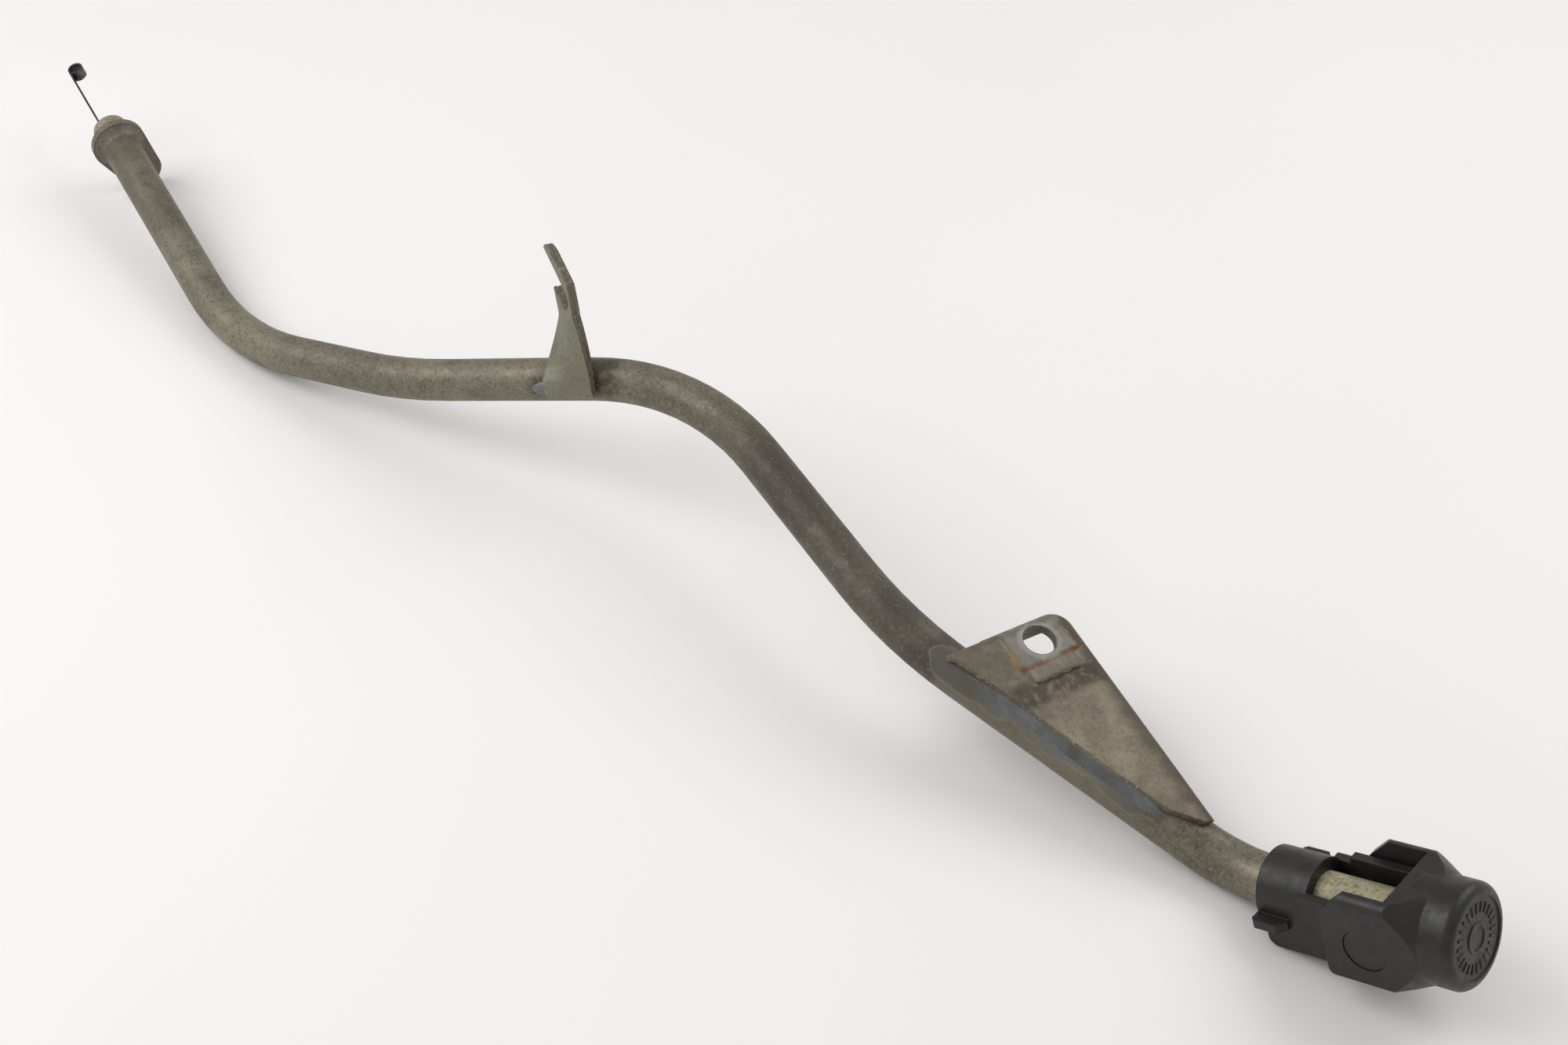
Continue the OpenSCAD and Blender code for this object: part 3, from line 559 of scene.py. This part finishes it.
def aged_zinc_tube():
    """Aged yellow zinc plate: olive to brown with fine specks, greener and cleaner near both ends."""
    material, tree, shader = surface("aged_zinc_tube")
    where = place(tree)
    colour = zinc_colour(tree, where)
    clean = zinc_colour(tree, where, "#b0aa87", "#97907a", "#756e5b")
    ends = maths(tree, "MAXIMUM", near(tree, where, CHAIN[0][0], 7, 12),
                 near(tree, where, CHAIN[5][0] + CHAIN[5][1] * 42, 18, 36))
    colour = blend(tree, ends, colour, clean)
    # Dark brown film from bend 3 to bend 4, with fine tan specks and a few pale flecks showing through
    patchy = noise(tree, where, 20, 5.0)
    zone = near(tree, where, CHAIN[3][0] + CHAIN[3][1] * 92, 44, 78)
    brown = maths(tree, "MULTIPLY", zone, remap(tree, patchy, 0.3, 0.6, 0.6, 0.93))
    colour = blend(tree, brown, colour, "#40382f")
    specks = maths(tree, "MULTIPLY", zone, remap(tree, noise(tree, where, 1.4, 4.0, 0.8), 0.53, 0.66, 0.0, 0.45))
    colour = blend(tree, specks, colour, "#7d7660")
    flecks = maths(tree, "MULTIPLY", zone, remap(tree, noise(tree, where, 7, 6.0, 0.7), 0.64, 0.69, 0.0, 0.6))
    colour = blend(tree, flecks, colour, "#7c7f78")
    # Brown film on the first run, strongest by the flange
    film = remap(tree, patchy, 0.3, 0.6, 0.35, 0.8)
    brown = maths(tree, "MULTIPLY", near(tree, where, CHAIN[0][0] + CHAIN[0][1] * 28, 14, 70), film)
    brown = maths(tree, "MULTIPLY", brown, remap(tree, ends, 0, 1, 0.75, 0.1))
    colour = blend(tree, brown, colour, "#574e44")
    # Dark stains to both sides of the middle bracket's foot
    for at, reach, share in ((13.5, 10, 0.85), (-12, 8, 0.7)):
        spot = HOOK_SEAT @ Vector((at, -1, 7))
        stain = maths(tree, "MULTIPLY", near(tree, where, spot, 1.5, reach), share)
        stain = maths(tree, "MULTIPLY", stain, remap(tree, noise(tree, where, 2.5, 5.0), 0.35, 0.6, 0.35, 1.0))
        colour = blend(tree, stain, colour, "#382c24")
    # Grey heat tint along the seam of the upper bracket
    seat = PLATE_SEAT
    run, side, up = (Vector(seat.col[k][:3]) for k in range(3))
    wave = maths(tree, "MULTIPLY", maths(tree, "SUBTRACT", noise(tree, where, 14, 4.0), 0.5), 0.006)
    ahead = along(tree, where, seat.translation, run)
    across = maths(tree, "ADD", along(tree, where, seat.translation, side), wave)
    middle = maths(tree, "ADD", across, 0.0033)
    rounded = maths(tree, "MULTIPLY", maths(tree, "MULTIPLY", middle, middle), -350)
    length = between(tree, maths(tree, "ADD", ahead, rounded), 14.5, 200, 3)
    length = maths(tree, "MINIMUM", length, between(tree, ahead, 0, 92, 14))
    high = along(tree, where, seat.translation, up)
    tint = maths(tree, "MULTIPLY", length, between(tree, across, -6.5, 0, 1.0))
    tint = maths(tree, "MULTIPLY", tint, remap(tree, high, 0, 0.003))
    below = maths(tree, "MULTIPLY", length, remap(tree, high, 0.0045, 0.001))
    below = maths(tree, "MULTIPLY", below, remap(tree, across, 0.001, -0.002, 0.0, 0.65))
    colour = blend(tree, below, colour, "#6f6858")
    hue = ramp(tree, noise(tree, where, 10, 4.0), [(0.35, "#6d665b"), (0.5, "#6b6b67"), (0.65, "#676c71")], True)
    hue = blend(tree, remap(tree, ahead, 0.046, 0.028, 0.0, 0.85), hue, "#544f47")
    hue = blend(tree, remap(tree, ahead, 0.072, 0.095, 0.0, 0.8), hue, "#5b544b")
    colour = blend(tree, maths(tree, "MULTIPLY", tint, 0.9), colour, hue)
    outline = maths(tree, "MULTIPLY", remap(tree, tint, 0.08, 0.3), remap(tree, tint, 0.7, 0.4, 0.0, 0.4))
    colour = blend(tree, outline, colour, "#857f6c")
    tree.links.new(colour, shader.inputs["Base Color"])
    zinc_finish(tree, shader, where, zone)
    return material


def aged_zinc_bracket():
    """Aged zinc on the pressed bracket: tan flat, silvery pad, rust in its creases, a near-black line along the
    crease below the slope and dark grime below it, and painted shade darkening the turned-down back rim.
    """
    material, tree, shader = surface("aged_zinc_bracket")
    where = place(tree)
    colour = zinc_colour(tree, where, "#867f6b", "#78715e", "#5f574a", 0.6)
    seat = PLATE_SEAT
    hole = seat @ Vector((*HOLE, 9.5))
    turn = seat.to_3x3()
    u = along(tree, where, hole, turn @ Vector((*LEFT_WAY, 0)))
    v = along(tree, where, hole, turn @ Vector((*LEFT_OUT, 0)))
    rough = noise(tree, where, 3, 6.0, 0.7)
    wobble = maths(tree, "MULTIPLY", maths(tree, "SUBTRACT", noise(tree, where, 4, 4.0), 0.5), 0.0018)
    u, v = maths(tree, "ADD", u, wobble), maths(tree, "ADD", v, wobble)

    def stain(colour, code, share, low_u, high_u, low_v, high_v, soft, low_noise=0.3, high_noise=0.5):
        """Lays a colour over a box of the pad's axes, broken up by noise."""
        mask = maths(tree, "MULTIPLY", between(tree, u, low_u, high_u, soft), between(tree, v, low_v, high_v, soft))
        mask = maths(tree, "MULTIPLY", mask, remap(tree, rough, low_noise, high_noise, 0.0, share))
        return blend(tree, mask, colour, code)

    # Painted shade: the turned-down back rim is darkened past the knee, with a ragged edge
    back = along(tree, where, seat @ Vector((*(CORNER + BACK_OUT * KNEE), 9.5)), turn @ Vector((*BACK_OUT, 0)))
    ragged = maths(tree, "ADD", back, maths(tree, "MULTIPLY", noise(tree, where, 6, 5.0, 0.7), 0.006))
    rim = maths(tree, "MULTIPLY", remap(tree, ragged, -0.0015, 0.004), 0.75)
    colour = blend(tree, rim, colour, "#43392f")
    colour = stain(colour, "#4e463b", 0.5, -36, -13, -20, 16, 5.0, 0.3, 0.6)
    colour = stain(colour, "#5a4a38", 0.7, -12, 12, 6.5, 12, 1.5, 0.35, 0.6)
    colour = stain(colour, "#3b332b", 0.9, -17, 11, -18, -13, 3.5, 0.3, 0.55)
    colour = stain(colour, "#7f7b70", 0.85, -10.5, 9, -12, -7, 1.0, 0.38, 0.62)
    colour = stain(colour, "#5f574a", 0.6, -10.5, 9, -12, -7, 1.0, 0.5, 0.62)
    colour = stain(colour, "#78776f", 0.9, -10, 9.5, -6, 6, 1.0, 0.25, 0.5)
    colour = stain(colour, "#5d5b57", 0.7, -10, 9.5, -6, 6, 1.0, 0.48, 0.62)
    colour = stain(colour, "#8d7048", 0.8, -12.3, -10.6, -6.5, 2, 0.8, 0.38, 0.6)
    colour = stain(colour, "#583e2b", 0.9, 9.8, 12, -6.5, 3, 1.2, 0.38, 0.58)
    colour = stain(colour, "#6e4a2c", 0.95, -11.5, 11.5, -7.6, -6.8, 0.5, 0.33, 0.55)
    # Near-black line along the crease at the foot of the slope
    colour = stain(colour, "#221b16", 1.0, -9.5, 6.5, -13.2, -12.8, 0.35, 0.2, 0.4)
    ring = maths(tree, "MULTIPLY", near(tree, where, hole, 6.4, 8.0), 0.8)
    colour = blend(tree, ring, colour, "#8e8c84")
    tree.links.new(colour, shader.inputs["Base Color"])
    zinc_finish(tree, shader, where)
    return material


def aged_zinc_hook():
    """Aged zinc on the middle bracket: an even grey-olive with few stains."""
    material, tree, shader = surface("aged_zinc_hook")
    where = place(tree)
    colour = zinc_colour(tree, where, "#8c8a77", "#7c7a69", "#6a6556", 0.6)
    tree.links.new(colour, shader.inputs["Base Color"])
    zinc_finish(tree, shader, where)
    return material


def sheared_edge_with_painted_shade():
    """Cut edges of the brackets: brown-grey and dull, with pale nicks, and kept darker than the faces as painted
    shade on the edge walls.
    """
    material, tree, shader = surface("sheared_edge_with_painted_shade", Roughness=0.6)
    where = place(tree)
    # Tones darker than the faces' zinc are painted shade on the edge walls
    colour = zinc_colour(tree, where, "#7d7663", "#625a4c", "#463d33")
    nick = remap(tree, noise(tree, where, 1.6, 3.0), 0.62, 0.7, 0.0, 0.7)
    tree.links.new(blend(tree, nick, colour, "#a39d8a"), shader.inputs["Base Color"])
    bump(tree, shader, noise(tree, where, 0.8, 3.0), 0.4, 0.15)
    return material


def stained_flange():
    """Zinc flange under a brown film with pale crumbs."""
    material, tree, shader = surface("stained_flange")
    where = place(tree)
    colour = zinc_colour(tree, where, "#7f786c", "#6d655b", "#4e453d")
    tree.links.new(colour, shader.inputs["Base Color"])
    zinc_finish(tree, shader, where)
    return material


def heat_tinted_braze():
    """Brazing metal with a smoky grey tint and a slight ripple."""
    material, tree, shader = surface("heat_tinted_braze", Metallic=0.4)
    where = place(tree)
    tint = noise(tree, where, 12, 5.0)
    colour = ramp(tree, tint, [(0.35, "#58554f"), (0.5, "#616363"), (0.68, "#747777")], True)
    tree.links.new(colour, shader.inputs["Base Color"])
    tree.links.new(remap(tree, noise(tree, where, 2, 3.0), 0.35, 0.65, 0.35, 0.55), shader.inputs["Roughness"])
    bump(tree, shader, noise(tree, where, 1.2, 3.0), 0.5, 0.15)
    return material


def satin_black_plastic(name="satin_black_plastic"):
    """Moulded black plastic: warm grey sheen, fine spark texture, dust in places and softened edges."""
    material, tree, shader = surface(name)
    where = place(tree)
    dust = remap(tree, noise(tree, where, 8, 5.0, 0.65), 0.45, 0.75)
    tree.links.new(blend(tree, dust, "#191716", "#2a2725"), shader.inputs["Base Color"])
    tree.links.new(remap(tree, noise(tree, where, 3, 4.0), 0.3, 0.7, 0.36, 0.5), shader.inputs["Roughness"])
    soft = add(tree, "Bevel", values={"Radius": 0.4 * MM}, samples=6)
    relief = add(tree, "Bump", {"Height": noise(tree, where, 0.35, 2.0), "Normal": soft.outputs["Normal"]},
                 {"Strength": 0.15, "Distance": 0.05 * MM})
    tree.links.new(relief.outputs["Normal"], shader.inputs["Normal"])
    return material


def black_rubber(name, code):
    """Matt rubber with a faint bloom."""
    material, tree, shader = surface(name, Roughness=0.75)
    where = place(tree)
    bloom = remap(tree, noise(tree, where, 4, 4.0), 0.4, 0.7, 0.0, 0.25)
    tree.links.new(blend(tree, bloom, code, "#5a5552"), shader.inputs["Base Color"])
    bump(tree, shader, noise(tree, where, 0.4, 2.0), 0.2, 0.05)
    return material


def blue_black_spring_steel():
    """Tempered spring steel: dark with a purple cast, and lengthwise rolling marks."""
    material, tree, shader = surface("blue_black_spring_steel", Metallic=0.85)
    where = place(tree)
    colour = ramp(tree, noise(tree, where, 3, 4.0), [(0.35, "#3b3335"), (0.55, "#574c52"), (0.7, "#6d6066")])
    tree.links.new(colour, shader.inputs["Base Color"])
    tree.links.new(remap(tree, noise(tree, where, 1.5, 3.0), 0.3, 0.7, 0.28, 0.45), shader.inputs["Roughness"])
    bump(tree, shader, noise(tree, where, 0.6, 2.0), 0.15, 0.04)
    return material


plastic = satin_black_plastic()
braze = heat_tinted_braze()
flange_steel = stained_flange()
dress(aged_zinc_tube(), "guide_tube")
dress(flange_steel, "lower_flange")
dress(plastic, "cap_collar", "flip_cap", "dipstick_head")
dress(black_rubber("seal_rubber", "#1f1d1d"), "cap_seal")
dress(black_rubber("ring_rubber", "#2c201b"), "head_ring")
dress(blue_black_spring_steel(), "dipstick_blade")

edge_with_shade = sheared_edge_with_painted_shade()
points, faces, flats = sheet_solid(hook_loop(), 0.9, hook_form, 0.35)
new_piece("middle_bracket_sheet", points, faces, HOOK_SEAT, aged_zinc_hook(), "tube", "mid_bracket",
          "bracket_zinc", edge=edge_with_shade, flats=flats)
points, faces, flats = sheet_solid(plate_loops(), 0.8, plate_form)
new_piece("upper_bracket_sheet", points, faces, PLATE_SEAT, aged_zinc_bracket(), "tube", "upper_bracket",
          "bracket_zinc", edge=edge_with_shade, flats=flats)
new_piece("flange_fillet", *flange_fillet(), station(0, 0, 0), flange_steel, "tube", "flange_braze",
          "flange_steel")
new_piece("foot_bead", *foot_bead(), HOOK_SEAT, braze, "tube", "mid_braze", "braze")
new_piece("seam_bead", *seam_bead(), PLATE_SEAT, braze, "tube", "upper_braze", "braze")


# Camera, floor and light

def photo_camera():
    """Camera that looks 41 degrees down across the part, with a 50.4 mm lens on a 36 mm sensor."""
    data = bpy.data.cameras.new("camera")
    data.lens = 50.4
    data.sensor_width = 36.0
    data.clip_start = 0.01
    data.clip_end = 20.0
    camera = bpy.data.objects.new("camera", data)
    camera.location = (0.44922, -0.38909, 0.50235)
    camera.rotation_euler = (math.radians(49.0), 0.0, math.radians(42.437))
    bpy.context.scene.collection.objects.link(camera)
    bpy.context.scene.camera = camera
    return camera


def softbox(name, where, aim, width, height, power, colour="#ffffff"):
    """Rectangular lamp at a place, turned towards a point."""
    data = bpy.data.lights.new(name, "AREA")
    data.shape = "RECTANGLE"
    data.size = width
    data.size_y = height
    data.energy = power
    data.color = srgb(colour)[:3]
    lamp = bpy.data.objects.new(name, data)
    lamp.location = where
    lamp.rotation_euler = (Vector(aim) - Vector(where)).to_track_quat("-Z", "Y").to_euler()
    bpy.context.scene.collection.objects.link(lamp)
    return lamp


def pale_floor():
    """Plain pale table top under the part."""
    mesh = bpy.data.meshes.new("floor")
    mesh.from_pydata([(-9, -9, 0), (9, -9, 0), (9, 9, 0), (-9, 9, 0)], [], [(0, 1, 2, 3)])
    floor = bpy.data.objects.new("floor", mesh)
    bpy.context.scene.collection.objects.link(floor)
    material, tree, shader = surface("pale_floor", Roughness=0.6)
    tone = noise(tree, place(tree), 300, 2.0)
    tree.links.new(ramp(tree, tone, [(0.3, "#f3f2f0"), (0.7, "#f6f5f4")]), shader.inputs["Base Color"])
    mesh.materials.append(material)
    return floor


photo_camera()
pale_floor()
world = bpy.data.worlds.new("world")
bpy.context.scene.world = world
world.use_nodes = True
world.node_tree.nodes["Background"].inputs["Color"].default_value = srgb("#f6f5f4")
world.node_tree.nodes["Background"].inputs["Strength"].default_value = 0.56
softbox("left_box", (-0.6, -0.6, 0.9), (0, 0, 0), 0.9, 0.9, 7.6)
softbox("right_box", (0.5, 0.9, 1.0), (0, 0, 0), 0.9, 0.9, 6)
bpy.context.scene.view_settings.view_transform = "Standard"
